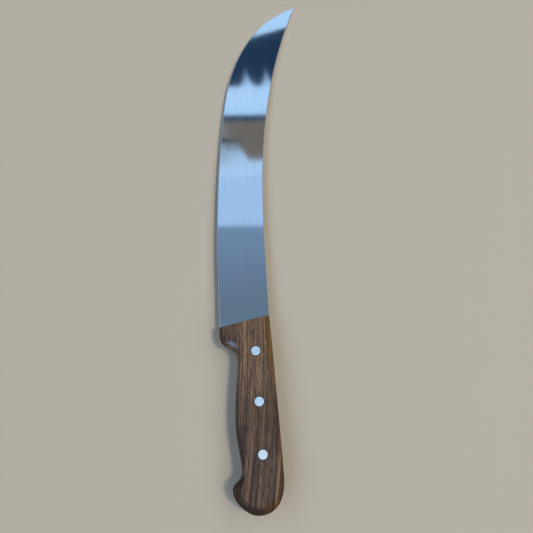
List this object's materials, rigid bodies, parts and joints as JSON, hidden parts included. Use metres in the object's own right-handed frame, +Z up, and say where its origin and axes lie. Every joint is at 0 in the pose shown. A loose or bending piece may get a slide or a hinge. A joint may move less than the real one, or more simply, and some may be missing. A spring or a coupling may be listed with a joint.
{
  "type": "cimeter knife",
  "caption": "Butcher's cimeter with a long upswept ground-steel blade and a riveted rosewood handle with finger guard and hooked butt, for slicing and portioning meat.",
  "frame": {"origin": "on the lower side face of the handle, on the row of rivets, midway between the front and the middle rivet", "axes": "the knife lies on its right side: +X from the cutting edge to the spine, +Y along the rivets towards the tip, +Z up from the right side to the left side"},
  "size_m": [0.0737, 0.3765, 0.018],
  "materials": {
    "ground_steel": "fine satin grind across the blade, polished towards the tip",
    "rosewood": "oiled satin",
    "nickel_silver": "satin, ground flush"
  },
  "bodies": {
    "root": {"blade": "ground_steel", "left_scale": "rosewood", "right_scale": "rosewood", "front_rivet_sleeve": "nickel_silver", "middle_rivet_sleeve": "nickel_silver", "rear_rivet_sleeve": "nickel_silver", "front_rivet_pin": "nickel_silver", "middle_rivet_pin": "nickel_silver", "rear_rivet_pin": "nickel_silver"}
  },
  "joints": []
}
